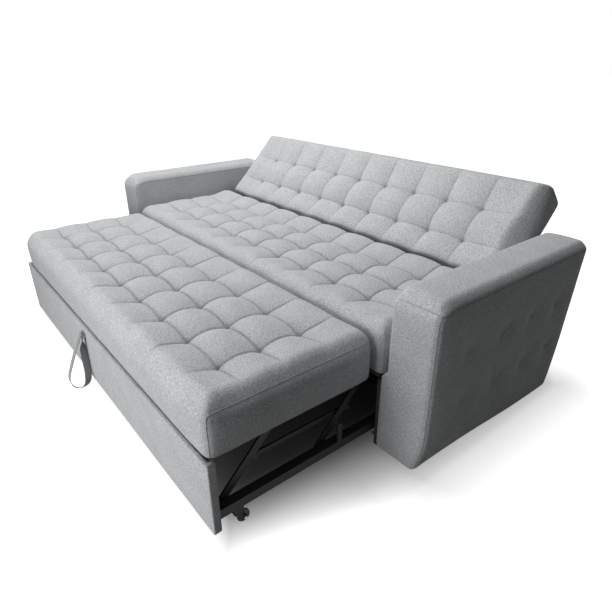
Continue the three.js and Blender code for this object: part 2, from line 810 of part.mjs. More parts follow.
function addBed() {
  const boardBottom = bedCushionBottom - seatGap - bedBoardThickness;
  const pivotZ = railCentreZ + linkRise;
  const railHigh = boardBottom - seatGap;
  const rail = span(
    deckRailInner, deckRailOuter, bedFront + deckRailInset, bedRear - deckRearInset,
    railHigh - deckRailWidth, railHigh,
  );
  const holes = [linkFrontY, linkRearY].map((y) => rod(
    linkPinRadius + runGap, deckRailInner - cutOverrun, deckRailOuter + cutOverrun, y + linkRun, pivotZ,
  ));
  for (const [label, side] of sides) {
    addMesh(part, 'deck_rail_' + label, onSide(cut(rail, ...holes), side), blackSteel());
  }
  addMesh(part, 'bed_board', span(
    -deckRailOuter, deckRailOuter, bedFront + bedBoardInset, bedRear - deckRearInset,
    boardBottom, bedCushionBottom - seatGap,
  ), ply());
  const cushion = sewnPad({
    width: 2 * bedHalfWidth,
    depth: bedRear - bedFront,
    thickness: cushionThickness,
    crown: cushionCrown,
    puff: cushionPuff,
    inset: cushionEdgeInset,
    drop: cushionEdgeDrop,
    drawIn: cushionDrawIn,
    seams: seamShare,
    soleInset: cushionSoleInset,
    soleDrop: cushionSoleDrop,
    shares: bedTuftShares,
  });
  addMesh(part, 'bed_cushion', cushion, fabric(), 0, bedFront, bedCushionBottom + cushionThickness);
}

// Pull strap: one ribbon that hangs in a loop, a quarter turned along its inner run

const strapPatchFront = panelFront - seatGap - strapThickness;
const strapTopY = strapPatchFront - seatGap - strapThickness / 2;

function strapGeometry() {
  const path = new THREE.CatmullRomCurve3(strapPathShares.map(([reach, drop]) =>
    new THREE.Vector3(strapX, strapTopY - reach * strapReach, strapTopZ - drop * strapDrop)));
  const positions = [];
  const triangles = [];
  const corners = [[1, 1], [-1, 1], [-1, -1], [1, -1]];
  for (let i = 0; i <= strapSteps; i += 1) {
    const share = i / strapSteps;
    const point = path.getPointAt(share);
    const along = path.getTangentAt(share);
    const inPlane = new THREE.Vector3(0, along.z, -along.y);
    const turn = (Math.PI / 2) * (1 + THREE.MathUtils.smoothstep(share, ...strapTwistShares.twist)
      - THREE.MathUtils.smoothstep(share, ...strapTwistShares.untwist));
    const across = inPlane.multiplyScalar(Math.cos(turn)).add(new THREE.Vector3(Math.sin(turn), 0, 0));
    const out = new THREE.Vector3().crossVectors(along, across).normalize();
    for (const [a, b] of corners) {
      const corner = point.clone()
        .addScaledVector(across, (a * strapWidth) / 2)
        .addScaledVector(out, (b * strapThickness) / 2);
      positions.push(...corner.toArray());
    }
  }
  for (let i = 0; i < strapSteps; i += 1) {
    for (let k = 0; k < corners.length; k += 1) {
      const m = (k + 1) % corners.length;
      const [here, next] = [corners.length * i, corners.length * (i + 1)];
      triangles.push(here + k, here + m, next + m, here + k, next + m, next + k);
    }
  }
  const end = corners.length * strapSteps;
  triangles.push(0, 2, 1, 0, 3, 2, end, end + 1, end + 2, end, end + 2, end + 3);
  const geometry = new THREE.BufferGeometry();
  geometry.setAttribute('position', new THREE.Float32BufferAttribute(positions, 3));
  geometry.setIndex(triangles);
  geometry.computeVertexNormals();
  return geometry;
}

function addStrap() {
  const strap = strapGeometry();
  addMesh(part, 'pull_strap', strap, webbing());
  addMesh(part, 'strap_patch', span(
    strapX - strapWidth / 2 - strapPatchRim, strapX + strapWidth / 2 + strapPatchRim,
    strapPatchFront, panelFront + strapPatchSeat, strapTopZ - strapPatchHeight, strapTopZ,
  ), webbing());
}

addArms();
addBase();
addSeatCushion();
addBackrest();
addReclinePlates();
addFrontPanel();
addCarriage();
addCasters();
addRollers();
addLinkage();
addBed();
addStrap();

part.position.y = -outlineMiddle;

export default part;
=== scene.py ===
"""The looks of the sleeper sofa with a pull-out bed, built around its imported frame.

Metres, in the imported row's frame: +X along the sofa's width, the front faces -Y, +Z up.
"""

import json
import math

import bpy
import numpy as np
from mathutils import Matrix, Vector


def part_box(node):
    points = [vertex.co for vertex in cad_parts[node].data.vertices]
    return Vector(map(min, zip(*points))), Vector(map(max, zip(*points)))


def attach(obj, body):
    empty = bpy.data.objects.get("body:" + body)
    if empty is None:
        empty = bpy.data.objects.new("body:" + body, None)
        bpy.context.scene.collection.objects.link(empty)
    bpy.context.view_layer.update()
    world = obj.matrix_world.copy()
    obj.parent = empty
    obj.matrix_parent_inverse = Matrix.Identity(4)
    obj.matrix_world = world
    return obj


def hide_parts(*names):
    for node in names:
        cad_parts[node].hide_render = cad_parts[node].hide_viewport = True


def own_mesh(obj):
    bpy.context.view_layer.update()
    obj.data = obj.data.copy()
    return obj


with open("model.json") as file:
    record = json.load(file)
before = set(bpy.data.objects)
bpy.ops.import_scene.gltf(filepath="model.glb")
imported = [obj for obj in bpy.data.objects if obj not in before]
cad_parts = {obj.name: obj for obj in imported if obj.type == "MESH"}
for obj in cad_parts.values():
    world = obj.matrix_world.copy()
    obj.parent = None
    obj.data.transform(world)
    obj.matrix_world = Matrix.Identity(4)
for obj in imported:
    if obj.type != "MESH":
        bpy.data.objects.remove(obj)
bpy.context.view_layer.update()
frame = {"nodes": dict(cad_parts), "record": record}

# Main places, as in the part's source. FRONT is the plane of the arms' fronts, from which depths are counted
FRONT = -0.1472
SEED = 7

# "across" is the share of the width outside the first seam, "along" the shares of the depth where seams cross
BED = {"half": 0.857, "front": -0.573, "depth": 0.564, "bottom": 0.266, "thick": 0.143,
       "across": 0.0915, "along": [0.23, 0.47, 0.725]}
SEAT = {"half": 0.889, "front": 0.003, "depth": 0.545, "bottom": 0.2856, "thick": 0.143,
        "across": 0.115, "along": [0.26, 0.5, 0.74]}
BACK = {"half": 0.8732, "height": 0.433, "thick": 0.134, "across": 0.112, "along": [0.26, 0.6],
        "foot": (0.577, 0.442), "recline": 45.0}
PANEL = {"half": 0.876, "front": -0.590, "thick": 0.0286, "bottom": 0.038, "top": 0.275,
         "shoulder": 0.017, "lip": 0.0150, "radius": 0.0072}
ARM = {"inner": 0.8823, "step": 0.0235, "step_from": 0.284, "step_to": 0.318, "rim": 1.067,
       "foot_in": 0.029, "foot_height": 0.175, "bottom": 0.012, "top": 0.586,
       "depth_low": 0.752, "depth_high": 0.822, "tufts_y": [0.16, 0.335, 0.5, 0.665], "tufts_z": [0.225, 0.395]}
STRAP = {"x": -0.042, "top": 0.251, "drop": 0.226, "reach": 0.080, "width": 0.025, "thick": 0.0022,
         "start": -0.5948}


# Materials

def new_material(name):
    """A material with its shader wired to the output."""
    m = bpy.data.materials.new(name)
    m.use_nodes = True
    tree = m.node_tree
    tree.nodes.clear()
    out = tree.nodes.new("ShaderNodeOutputMaterial")
    shader = tree.nodes.new("ShaderNodeBsdfPrincipled")
    tree.links.new(shader.outputs[0], out.inputs[0])
    return m, tree, shader


def node(tree, kind, inputs=None, **settings):
    """A shader node with its settings, its inputs linked or set."""
    made = tree.nodes.new("ShaderNode" + kind)
    for key, value in settings.items():
        setattr(made, key, value)
    for key, value in (inputs or {}).items():
        if isinstance(value, bpy.types.NodeSocket):
            tree.links.new(value, made.inputs[key])
        else:
            made.inputs[key].default_value = value
    return made


def math_node(tree, operation, a, b=0.0, c=0.0):
    """The output of a Math node."""
    return node(tree, "Math", {0: a, 1: b, 2: c}, operation=operation).outputs[0]


def ramp(tree, factor, stops):
    """A colour ramp with the given (place, colour) stops."""
    made = node(tree, "ValToRGB", {0: factor})
    elements = made.color_ramp.elements
    while len(elements) < len(stops):
        elements.new(0.5)
    for element, (place, colour) in zip(elements, stops):
        element.position = place
        element.color = (*colour, 1)
    return made.outputs[0]


def stretched_noise(tree, source, scale, detail=2.0, rough=0.5):
    """Noise whose grain is stretched: scale is per metre along each direction."""
    mapped = node(tree, "Mapping", {"Vector": source, "Scale": scale}).outputs[0]
    return node(tree, "TexNoise", {"Vector": mapped, "Scale": 1.0, "Detail": detail, "Roughness": rough}).outputs[0]


def blend(tree, a, b, share):
    """a and b mixed, with the given share of a."""
    return math_node(tree, "MULTIPLY_ADD", a, share, math_node(tree, "MULTIPLY", b, 1 - share))


def bump_shader(tree, shader, height, strength, distance):
    """Fine relief on a shader, distance deep at a height of 1."""
    bumped = node(tree, "Bump", {"Height": height, "Strength": strength, "Distance": distance}).outputs[0]
    tree.links.new(bumped, shader.inputs["Normal"])


THREAD_STRETCH = 16         # a thread's grain is this much longer than the thread is wide
THREAD_SHARE = 0.15         # share of each direction's threads in the colour
SLUB = (400.0, 140.0)       # thick and thin places of the threads, per metre across and along
SLUB_SHARE = 0.35           # share of each direction's slubs
MOTTLE = 14.0               # slow unevenness of the dye, per metre
MOTTLE_SHARE = 0.06
PAINTED_FOLD_SHADE = 0.42         # how much darker cloth is deep in a fold
WEAVE_RELIEF = 0.5          # height of the weave in the relief
THREAD_RELIEF = 1.4         # and of the threads' unevenness


def woven(name, light, dark, thread=0.0013, sheen=0.22, bump=0.00035, rough=0.92, specular=0.25):
    """A heathered plain weave: slubbed warp and weft threads in mixed greys."""
    m, tree, shader = new_material(name)
    uv = node(tree, "UVMap", uv_map="weave").outputs[0]
    per = 1 / thread
    warp = stretched_noise(tree, uv, (per, per / THREAD_STRETCH, 1.0))
    weft = stretched_noise(tree, uv, (per / THREAD_STRETCH, per, 1.0))
    slubs = stretched_noise(tree, uv, (*SLUB, 1.0), 3.0, 0.65)
    slubs_across = stretched_noise(tree, uv, (*SLUB[::-1], 1.0), 3.0, 0.65)
    mottle = stretched_noise(tree, uv, (MOTTLE, MOTTLE, 1.0), 3.0, 0.55)
    threads = math_node(tree, "MULTIPLY_ADD", math_node(tree, "ADD", warp, weft), THREAD_SHARE,
                        math_node(tree, "MULTIPLY", math_node(tree, "ADD", slubs, slubs_across), SLUB_SHARE))
    colour = ramp(tree, blend(tree, mottle, threads, MOTTLE_SHARE), [(0.40, dark), (0.60, light)])
    # Painted shade: the painted_shade attribute darkens the cloth's colour in the folds of its seams, round its tufts
    # and on darkened welts
    painted_shade = node(tree, "Attribute", attribute_name="painted_shade").outputs["Fac"]
    shade = math_node(tree, "SUBTRACT", 1.0, math_node(tree, "MULTIPLY", painted_shade, PAINTED_FOLD_SHADE))
    tinted = node(tree, "VectorMath", {0: colour, 3: shade}, operation="SCALE").outputs[0]
    tree.links.new(tinted, shader.inputs["Base Color"])
    shader.inputs["Roughness"].default_value = rough
    shader.inputs["Specular IOR Level"].default_value = specular
    shader.inputs["Sheen Weight"].default_value = sheen
    shader.inputs["Sheen Roughness"].default_value = 0.55
    split = node(tree, "SeparateXYZ", {0: uv})
    turns = math.pi / thread
    across = math_node(tree, "SINE", math_node(tree, "MULTIPLY", split.outputs[0], turns))
    along = math_node(tree, "SINE", math_node(tree, "MULTIPLY", split.outputs[1], turns))
    weave = math_node(tree, "MULTIPLY", across, along)
    uneven = math_node(tree, "MULTIPLY", threads, THREAD_RELIEF)
    height = math_node(tree, "MULTIPLY_ADD", weave, WEAVE_RELIEF, uneven)
    bump_shader(tree, shader, height, 0.75, bump)
    return m


WOOD_GRAIN = (1.2, 26.0, 60.0)          # per metre along X, Y and Z
WOOD_PORES = (30.0, 700.0, 700.0)


def wood(name, light, dark, rough=0.6):
    """Sawn wood or plywood: long grain along X with darker late wood."""
    m, tree, shader = new_material(name)
    place = node(tree, "TexCoord").outputs["Object"]
    rings = stretched_noise(tree, place, WOOD_GRAIN, 6.0, 0.6)
    pores = stretched_noise(tree, place, WOOD_PORES, 2.0, 0.5)
    factor = blend(tree, pores, rings, 0.3)
    tree.links.new(ramp(tree, factor, [(0.35, dark), (0.62, light)]), shader.inputs["Base Color"])
    shader.inputs["Roughness"].default_value = rough
    bump_shader(tree, shader, factor, 0.4, 0.0004)
    return m


WEAR = 9.0                  # slow patches of wear, per metre
WEAR_ROUGHNESS = 0.16       # how far they change the roughness


def coated(name, colour, metallic, rough, grain, depth, spread=0.25, specular=0.5):
    """Powder coat, plating, plastic or rubber: one colour with its fine surface grain and slight wear."""
    m, tree, shader = new_material(name)
    place = node(tree, "TexCoord").outputs["Object"]
    fine = stretched_noise(tree, place, (grain, grain, grain), 2.0, 0.6)
    patches = stretched_noise(tree, place, (WEAR, WEAR, WEAR), 3.0, 0.6)
    low = [c * (1 - spread) for c in colour]
    high = [min(1.0, c * (1 + spread)) for c in colour]
    worn = ramp(tree, blend(tree, patches, fine, 0.6), [(0.3, low), (0.7, high)])
    tree.links.new(worn, shader.inputs["Base Color"])
    shader.inputs["Metallic"].default_value = metallic
    shader.inputs["Specular IOR Level"].default_value = specular
    roughness = math_node(tree, "MULTIPLY_ADD", patches, WEAR_ROUGHNESS, rough - WEAR_ROUGHNESS / 2)
    tree.links.new(roughness, shader.inputs["Roughness"])
    bump_shader(tree, shader, fine, 0.5, depth)
    return m


upholstery = woven("upholstery", (0.725, 0.740, 0.750), (0.268, 0.278, 0.286), sheen=0.06)
thread_grey = woven("thread", (0.50, 0.51, 0.52), (0.40, 0.41, 0.42), thread=0.0004, bump=0.0001)
ribbon = woven("webbing", (0.200, 0.202, 0.208), (0.100, 0.101, 0.106), thread=0.0006, sheen=0.5, bump=0.00012,
               rough=0.42, specular=0.6)
timber = wood("timber", (0.60, 0.45, 0.28), (0.42, 0.28, 0.15))
# Painted shade: the plywood is near-black so that the boards inside the bay under the seat stand in for its deep shade
plywood = wood("plywood", (0.030, 0.028, 0.026), (0.012, 0.011, 0.010), rough=0.85)
black_steel = coated("black_steel", (0.009, 0.009, 0.010), 0.0, 0.55, 1600.0, 0.00012, specular=0.22)
zinc_steel = coated("zinc_steel", (0.56, 0.57, 0.59), 1.0, 0.34, 900.0, 0.00004, spread=0.12)
black_plastic = coated("black_plastic", (0.014, 0.014, 0.015), 0.0, 0.5, 1200.0, 0.00008)
caster_tread = coated("caster_tread", (0.022, 0.022, 0.023), 0.0, 0.45, 700.0, 0.00008)

BY_SLOT = {
    "upholstery": upholstery, "webbing": ribbon, "timber": timber, "plywood": plywood,
    "black_steel": black_steel, "zinc_steel": zinc_steel, "black_plastic": black_plastic,
    "caster_tread": caster_tread,
}
for subpart in frame["record"]["subparts"]:
    cad = frame["nodes"].get(subpart["node"])
    if cad is not None:
        cad.data.materials.clear()
        cad.data.materials.append(BY_SLOT[subpart["material_slot"]])


# Mesh helpers

LEAST_GAP = 0.004           # steps from both sides keep this far from the middle
ROUND_ROWS = 3              # rows of faces in a rounded edge, as edge_steps has them
SEAM_FINE = [0, 0.002, 0.0045, 0.009, 0.016, 0.026, 0.040, 0.058]      # steps away from a seam
BORDER_FINE = [0.008, 0.018, 0.032, 0.050, 0.068]                      # and from a rounded edge


def edge_steps(radius):
    """Steps inside a rounded edge that turn evenly."""
    return [0, *(radius * (1 - math.tan(math.radians(angle))) for angle in (30, 15)), radius]


def steps_between(start, end, after_start, before_end):
    """Places from start to end, close together near seams and edges and wide apart in the middle."""
    middle = (start + end) / 2
    places = [start + d for d in after_start if start + d < middle - LEAST_GAP]
    places += [middle]
    places += [end - d for d in reversed(before_end) if end - d > middle + LEAST_GAP]
    return places


def seamed_steps(length, radius, seams):
    """Steps over a face that is crossed by seams at the given places."""
    border = edge_steps(radius) + [radius + d for d in BORDER_FINE]
    marks = [0, *seams, length]
    found = []
    for k in range(len(marks) - 1):
        first = border if k == 0 else SEAM_FINE
        last = border if k == len(marks) - 2 else SEAM_FINE
        found += steps_between(marks[k], marks[k + 1], first, last)
    return sorted(set(round(x, 6) for x in found))


def even_steps(length, radius, gap, close=()):
    """Rounded ends, close steps beside them where they are given, and even steps between."""
    border = edge_steps(radius) + [radius + d for d in close]
    inner = length - 2 * border[-1]
    count = max(1, round(inner / gap))
    middle = [border[-1] + inner * k / count for k in range(1, count)]
    return border + middle + [length - d for d in reversed(border)]


def box_grid(lists, open_core=None):
    """A box's surface as quads over three lists of steps.

    open_core is the side (axis, end) whose flat middle is a single face.
    """
    index, places, faces = {}, [], []
    last = [len(steps) - 1 for steps in lists]

    def at(key):
        if key not in index:
            index[key] = len(places)
            places.append([lists[a][key[a]] for a in range(3)])
        return index[key]

    for axis in range(3):
        a, b = [(1, 2), (2, 0), (0, 1)][axis]
        low_a, high_a, low_b, high_b = ROUND_ROWS, last[a] - ROUND_ROWS, ROUND_ROWS, last[b] - ROUND_ROWS
        for end in (0, 1):
            whole = open_core == (axis, end)

            def corner(i, j):
                key = [0, 0, 0]
                key[axis], key[a], key[b] = end * last[axis], i, j
                return at(tuple(key))

            for i in range(last[a]):
                for j in range(last[b]):
                    if whole and low_a <= i < high_a and low_b <= j < high_b:
                        continue
                    quad = [corner(i, j), corner(i + 1, j), corner(i + 1, j + 1), corner(i, j + 1)]
                    faces.append(quad if end else quad[::-1])
            if whole:
                ring = [(i, low_b) for i in range(low_a, high_a)]
                ring += [(high_a, j) for j in range(low_b, high_b)]
                ring += [(i, high_b) for i in range(high_a, low_a, -1)]
                ring += [(low_a, j) for j in range(high_b, low_b, -1)]
                loop = [corner(i, j) for i, j in ring]
                faces.append(loop if end else loop[::-1])
    return np.array(places, float), faces


def box_round(places, size, radius):
    """Box places inside the rounding, and the way out from there at each."""
    core = np.clip(places, radius, np.array(size) - radius)
    away = places - core
    return core, away / np.linalg.norm(away, axis=1)[:, None]


def rounded(places, size, radius):
    """Box places moved onto the box with rounded edges, and the way out at each."""
    core, out = box_round(places, size, radius)
    return core + out * radius, out


def smooth(x, low, high):
    """A soft step from 0 at low to 1 at high."""
    t = np.clip((x - low) / (high - low), 0, 1)
    return t * t * (3 - 2 * t)


def bell(distance, width):
    """1 at no distance, falling to almost 0 at twice the width."""
    return np.exp(-(distance / width) ** 2)


def settle(distance, width):
    """0 at an edge, rising to 1 at the width and beyond."""
    return 1 - (1 - np.clip(distance / width, 0, 1)) ** 2


def ripple(points, rng, lengths, height):
    """Slow unevenness of stuffed cloth: a few crossed waves, the same at each run."""
    total = np.zeros(len(points))
    for wave in lengths:
        way = rng.normal(size=3)
        way /= np.linalg.norm(way)
        total += np.sin(points @ way * (2 * math.pi / wave) + rng.uniform(0, 2 * math.pi))
    return height * total / len(lengths)


def weave_map(mesh):
    """A map in metres for the weave: each face is laid flat along the axes it lies nearest to."""
    layer = mesh.uv_layers.new(name="weave")
    normals = np.zeros(len(mesh.polygons) * 3)
    mesh.polygons.foreach_get("normal", normals)
    axis = np.abs(normals.reshape(-1, 3)).argmax(axis=1)
    totals = np.zeros(len(mesh.polygons), int)
    mesh.polygons.foreach_get("loop_total", totals)
    loop_axis = np.repeat(axis, totals)
    corner = np.zeros(len(mesh.loops), int)
    mesh.loops.foreach_get("vertex_index", corner)
    co = np.zeros(len(mesh.vertices) * 3)
    mesh.vertices.foreach_get("co", co)
    co = co.reshape(-1, 3)[corner]
    u = np.where(loop_axis == 0, co[:, 1], co[:, 0])
    v = np.where(loop_axis == 2, co[:, 1], co[:, 2])
    layer.data.foreach_set("uv", np.stack([u, v], 1).ravel())


def add_piece(name, points, faces, material, body, painted_shade=None):
    """A new mesh piece that rides on a body."""
    mesh = bpy.data.meshes.new(name)
    mesh.from_pydata([tuple(p) for p in points], [], faces)
    mesh.update()
    mesh.polygons.foreach_set("use_smooth", [True] * len(mesh.polygons))
    weave_map(mesh)
    # Painted shade: this attribute holds how much painted shade darkens the cloth at each point
    if painted_shade is not None:
        attribute = mesh.attributes.new("painted_shade", "FLOAT", "POINT")
        attribute.data.foreach_set("value", np.asarray(painted_shade, np.float32))
    mesh.materials.append(material)
    piece = bpy.data.objects.new(name, mesh)
    bpy.context.scene.collection.objects.link(piece)
    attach(piece, body)
    return piece


def sweep(path, sides, radius):
    """A thin round thread along a path of points."""
    path = np.asarray(path, float)
    along = np.gradient(path, axis=0)
    along /= np.linalg.norm(along, axis=1)[:, None]
    normal = np.cross(along[0], [0.3, 0.5, 0.81])
    normal /= np.linalg.norm(normal)
    points, faces = [], []
    for here, way in zip(path, along):
        normal = normal - way * (normal @ way)
        normal /= np.linalg.norm(normal)
        other = np.cross(way, normal)
        for s in range(sides):
            angle = 2 * math.pi * s / sides
            points.append(here + radius * (math.cos(angle) * normal + math.sin(angle) * other))
    last = (len(path) - 1) * sides
    for k in range(0, last, sides):
        for s in range(sides):
            t = (s + 1) % sides
            faces.append([k + t, k + sides + t, k + sides + s, k + s])
    faces.append(list(range(sides)))
    faces.append([last + s for s in reversed(range(sides))])
    return points, faces


def path_points(path, distances):
    """Points on a path at the distances that a function gives for its whole length."""
    length = np.concatenate([[0], np.cumsum(np.linalg.norm(np.diff(path, axis=0), axis=1))])
    at = distances(length[-1])
    return np.stack([np.interp(at, length, path[:, a]) for a in range(3)], 1)


def walk(path, gap):
    """Points at even distances along a path."""
    return path_points(np.asarray(path, float), lambda length: np.arange(0, length, gap))


def add_threads(name, paths, sides, radius, material, body, shade=None):
    """One piece of round threads along the given paths, evenly darkened by painted shade if a shade is given."""
    points, faces = [], []
    for path in paths:
        more_points, more_faces = sweep(path, sides, radius)
        faces += [[k + len(points) for k in face] for face in more_faces]
        points += more_points
    painted_shade = None if shade is None else np.full(len(points), shade)
    return add_piece(name, points, faces, material, body, painted_shade)


STITCH_BACK = 0.0001        # a stitch starts this far behind its hole


def add_stitches(name, lines, body, length=0.0042, gap=0.0062, radius=0.00055):
    """Rows of single stitches along lines that lie on the cloth."""
    stitches = []
    for line in lines:
        track = walk(line, gap)
        for here, ahead in zip(track[:-1], track[1:]):
            way = (ahead - here) / np.linalg.norm(ahead - here)
            stitches.append([here - way * STITCH_BACK, here + way * length * 0.5, here + way * length])
    return add_threads(name, stitches, 4, radius, thread_grey, body)


def add_welts(name, lines, body, radius, shade):
    """Thin sewn welts along lines that lie on the cloth, darkened by the given share of painted shade so that they
    read as a seam's shadow line.
    """
    return add_threads(name, lines, 6, radius, upholstery, body, shade)


# Tufted cushions

EDGE_RADIUS = 0.042         # round of a cushion's edges
SOLE_POWER = 0.25           # under 1: the lower edges are squarer than round
PLAN_POWER = 0.5            # under 1: the corners are squarer than round, seen from above
SIDE_BULGE = 0.013          # belly of the ends
DRAW_IN = 0.003             # how far the ends draw in at half depth
FILL_ALONG = 12             # how soon the front and rear bellies fill out from the corners
FILL_ACROSS = 5             # and the bellies of the ends
REAR_RISE = (0.78, 0.94)    # shares of the depth between which a raised rear edge rises
CROWN = 0.009               # rise of the whole face towards its middle
PUFF = 0.023                # rise of each puff between the tufts
PUFF_SPREAD = 0.16          # how unequal the puffs are
PUFF_BORDER = 0.055         # the puffs have their full height this far from the edge
SEAM_BORDER = 0.12          # the seams have their full depth this far from the edge
SEAM_LEAST = 0.12           # share of that depth at the edge itself
SEAM_OPEN = 0.85            # 0: puffs sink fully along the seams, 1: by half, and fully only where seams cross
# The shade entries of FOLD and PINCH are painted shade, darkening the cloth along the seams and round the tufts
FOLD = {"depth": 0.0022, "width": 0.0027, "shade": 0.60, "shade_width": 0.0042}
PINCH = {"deep": 0.0060, "deep_width": 0.010, "wide": 0.0045, "wide_width": 0.032,
         "shade": 0.9, "shade_width": 0.012}
GATHER = {"height": 0.0011, "folds": 6, "reach": 0.030, "clear": 0.012}
LOOSE = ((0.31, 0.19, 0.12), 0.0011)        # lengths and height of the cloth's slow waves
SEAM_FOOT = 0.012           # the end seams start this far above the sole
SEAM_IN = 0.9               # they run at this share of the distance from the edge that seam_inset gives
STITCH_IN = 0.0045          # their stitches run this far inside them
END_SEAM_POINTS = (32, 90)  # up and down, and over the top


def tuft_form(x, y, size, xs, ys, line, beyond, rng):
    """The lift of a tufted face and the painted shade at each point, darkest in the seams' folds and round the tufts.
    """
    marks_x, marks_y = np.array([0, *xs, size[0]]), np.array([0, *ys, size[1]])
    i = np.clip(np.searchsorted(marks_x, x, side="right") - 1, 0, len(marks_x) - 2)
    j = np.clip(np.searchsorted(marks_y, y, side="right") - 1, 0, len(marks_y) - 2)
    s = (x - marks_x[i]) / (marks_x[i + 1] - marks_x[i])
    t = (y - marks_y[j]) / (marks_y[j + 1] - marks_y[j])
    # The puffs at the borders are half puffs, highest at the edge
    s = np.where(i == 0, (1 + s) / 2, np.where(i == len(marks_x) - 2, s / 2, s))
    t = np.where(j == 0, (1 + t) / 2, np.where(j == len(marks_y) - 2, t / 2, t))
    qs, qt = np.clip(1 - (2 * s - 1) ** 2, 0, 1), np.clip(1 - (2 * t - 1) ** 2, 0, 1)
    dome = (1 - SEAM_OPEN) * np.sqrt(qs * qt) + SEAM_OPEN * (qs + qt) / 2
    edge = np.minimum(np.minimum(x, size[0] - x), np.minimum(y + beyond[0], size[1] - y + beyond[1]))
    inward = SEAM_LEAST + (1 - SEAM_LEAST) * smooth(edge, 0.0, SEAM_BORDER)
    gain = 1 + PUFF_SPREAD * (rng.random((len(marks_x) - 1, len(marks_y) - 1)) - 0.5)
    swell = CROWN * np.sqrt(np.clip(np.sin(math.pi * x / size[0]) * np.sin(math.pi * y / size[1]), 0, 1))
    lift = (PUFF * settle(edge, PUFF_BORDER) * gain[i, j] + swell) * (1 - (1 - dome) * inward)

    dx = x - marks_x[1:-1][np.abs(x[:, None] - marks_x[1:-1]).argmin(1)]
    dy = y - marks_y[1:-1][np.abs(y[:, None] - marks_y[1:-1]).argmin(1)]
    fold = np.maximum(bell(dx, FOLD["width"]), bell(dy, FOLD["width"])) * inward
    shade = np.maximum(bell(dx, FOLD["shade_width"]), bell(dy, FOLD["shade_width"])) * inward
    r, angle = np.hypot(dx, dy), np.arctan2(dy, dx)
    pinch = PINCH["deep"] * bell(r, PINCH["deep_width"]) + PINCH["wide"] * bell(r, PINCH["wide_width"])
    turn = rng.uniform(0, 2 * math.pi, (len(marks_x), len(marks_y)))[i, j]
    gather = (GATHER["height"] * np.cos(GATHER["folds"] * angle + turn)
              * np.exp(-r / GATHER["reach"]) * (1 - bell(r, GATHER["clear"])))
    lift = lift - FOLD["depth"] * line * fold - pinch + gather
    return lift, np.maximum(FOLD["shade"] * line * shade, PINCH["shade"] * bell(r, PINCH["shade_width"]))


def cushion_round(places, size, tight):
    """Box places moved onto a cushion's rounded edges, and the way out at each.

    Tight has a power for the front and the rear upper edge: under 1, that edge is squarer than round.
    """
    core, out = box_round(places, size, EDGE_RADIUS)
    reach = out.copy()
    side = np.hypot(out[:, 0], out[:, 1])
    lean = np.abs(out[:, :2]) / np.maximum(side, 1e-9)[:, None]
    reach[:, :2] = side[:, None] * np.sign(out[:, :2]) * lean ** PLAN_POWER
    low = (out[:, 2] < 0) & (side > 1e-6)
    reach[low, :2] *= (side[low] ** (SOLE_POWER - 1))[:, None]
    reach[low, 2] = -((-out[low, 2]) ** SOLE_POWER)
    share = out[:, 1] ** 2 / np.maximum(side ** 2, 1e-9)
    power = 1 - (1 - np.where(out[:, 1] < 0, *tight)) * share
    high = (out[:, 2] > 1e-6) & (side > 1e-6)
    reach[high, :2] *= (side[high] ** (power[high] - 1))[:, None]
    reach[high, 2] = out[high, 2] ** power[high]
    return core + reach * EDGE_RADIUS, out


def cushion_shape(size, xs, ys, place, seed, ends, tight, beyond, line=1.0, corner=0.0, foot=0.0, rear=0.0):
    """A function that takes places on a plain box to the tufted cushion, in the row frame.

    ends: bellies of the front and the rear side. tight: see cushion_round. line: how deep the seams' folds are.
    beyond: how far past the front and the rear edge the tufted face seems to go on.
    corner and foot: how much of the bellies is left at the corners and low on the ends. rear: rise of the rear edge.
    """
    def shape(places):
        rng = np.random.default_rng(seed)
        p, out = cushion_round(places, size, tight)
        u, v, w = p[:, 0] / size[0], p[:, 1] / size[1], np.clip(p[:, 2] / size[2], 0, 1)
        up = np.clip(out[:, 2], 0, 1) ** 2
        lift, painted_shade = tuft_form(p[:, 0], p[:, 1], size, xs, ys, line, beyond, rng)
        loose = ripple(p, rng, *LOOSE)
        p[:, 2] += up * (lift + rear * smooth(v, *REAR_RISE))
        side = np.clip(np.hypot(out[:, 0], out[:, 1]), 0, 1)
        p += out * (loose * side * np.sin(math.pi * w))[:, None]
        belly = np.sqrt(np.sin(math.pi * w))
        full_x = np.clip(corner + FILL_ALONG * u * (1 - u), 0, 1)
        full_y = np.clip(corner + FILL_ACROSS * v * (1 - v), 0, 1)
        end_belly = np.maximum(belly, foot * (w < 0.5))
        p[:, 0] += out[:, 0] * np.abs(out[:, 0]) * SIDE_BULGE * end_belly * full_y
        p[:, 1] += out[:, 1] * np.abs(out[:, 1]) * np.where(out[:, 1] < 0, *ends) * belly * full_x
        p[:, 0] += DRAW_IN * np.sin(math.pi * v) * (1 - 2 * u)
        return place(p), painted_shade * up
    return shape


def seam_places(size, outer_share, along):
    """Nine seams across a cushion, evenly spaced inside its outer share, and those at its shares of the depth."""
    outer = outer_share * size[0]
    inner = (size[0] - 2 * outer) / 8
    return [outer + inner * k for k in range(9)], [share * size[1] for share in along]


def seam_inset(radius):
    """How far inside a box's edge the seam over its rounding lies."""
    return radius * (1 - math.tan(math.radians(40)))


def end_seams(shape, size, inside=0.0):
    """The seam round each end of a cushion: up the front corner, over the top edge and down the rear corner.

    inside moves the lines in from there, for the stitches.
    """
    inset = seam_inset(EDGE_RADIUS)
    margin = inset * SEAM_IN + inside
    y0, y1, z1 = margin, size[1] - margin, size[2] - margin
    upright, over = END_SEAM_POINTS
    lines = []
    for end in (0, 1):
        x = size[0] * end
        if inside:
            x += (inset - inside) * (1 - 2 * end)
        path = [(x, y0, z) for z in np.linspace(SEAM_FOOT, z1, upright)]
        path += [(x, y, z1) for y in np.linspace(y0, y1, over)[1:]]
        path += [(x, y1, z) for z in np.linspace(z1, SEAM_FOOT, upright)[1:]]
        lines.append(shape(np.array(path))[0])
    return lines


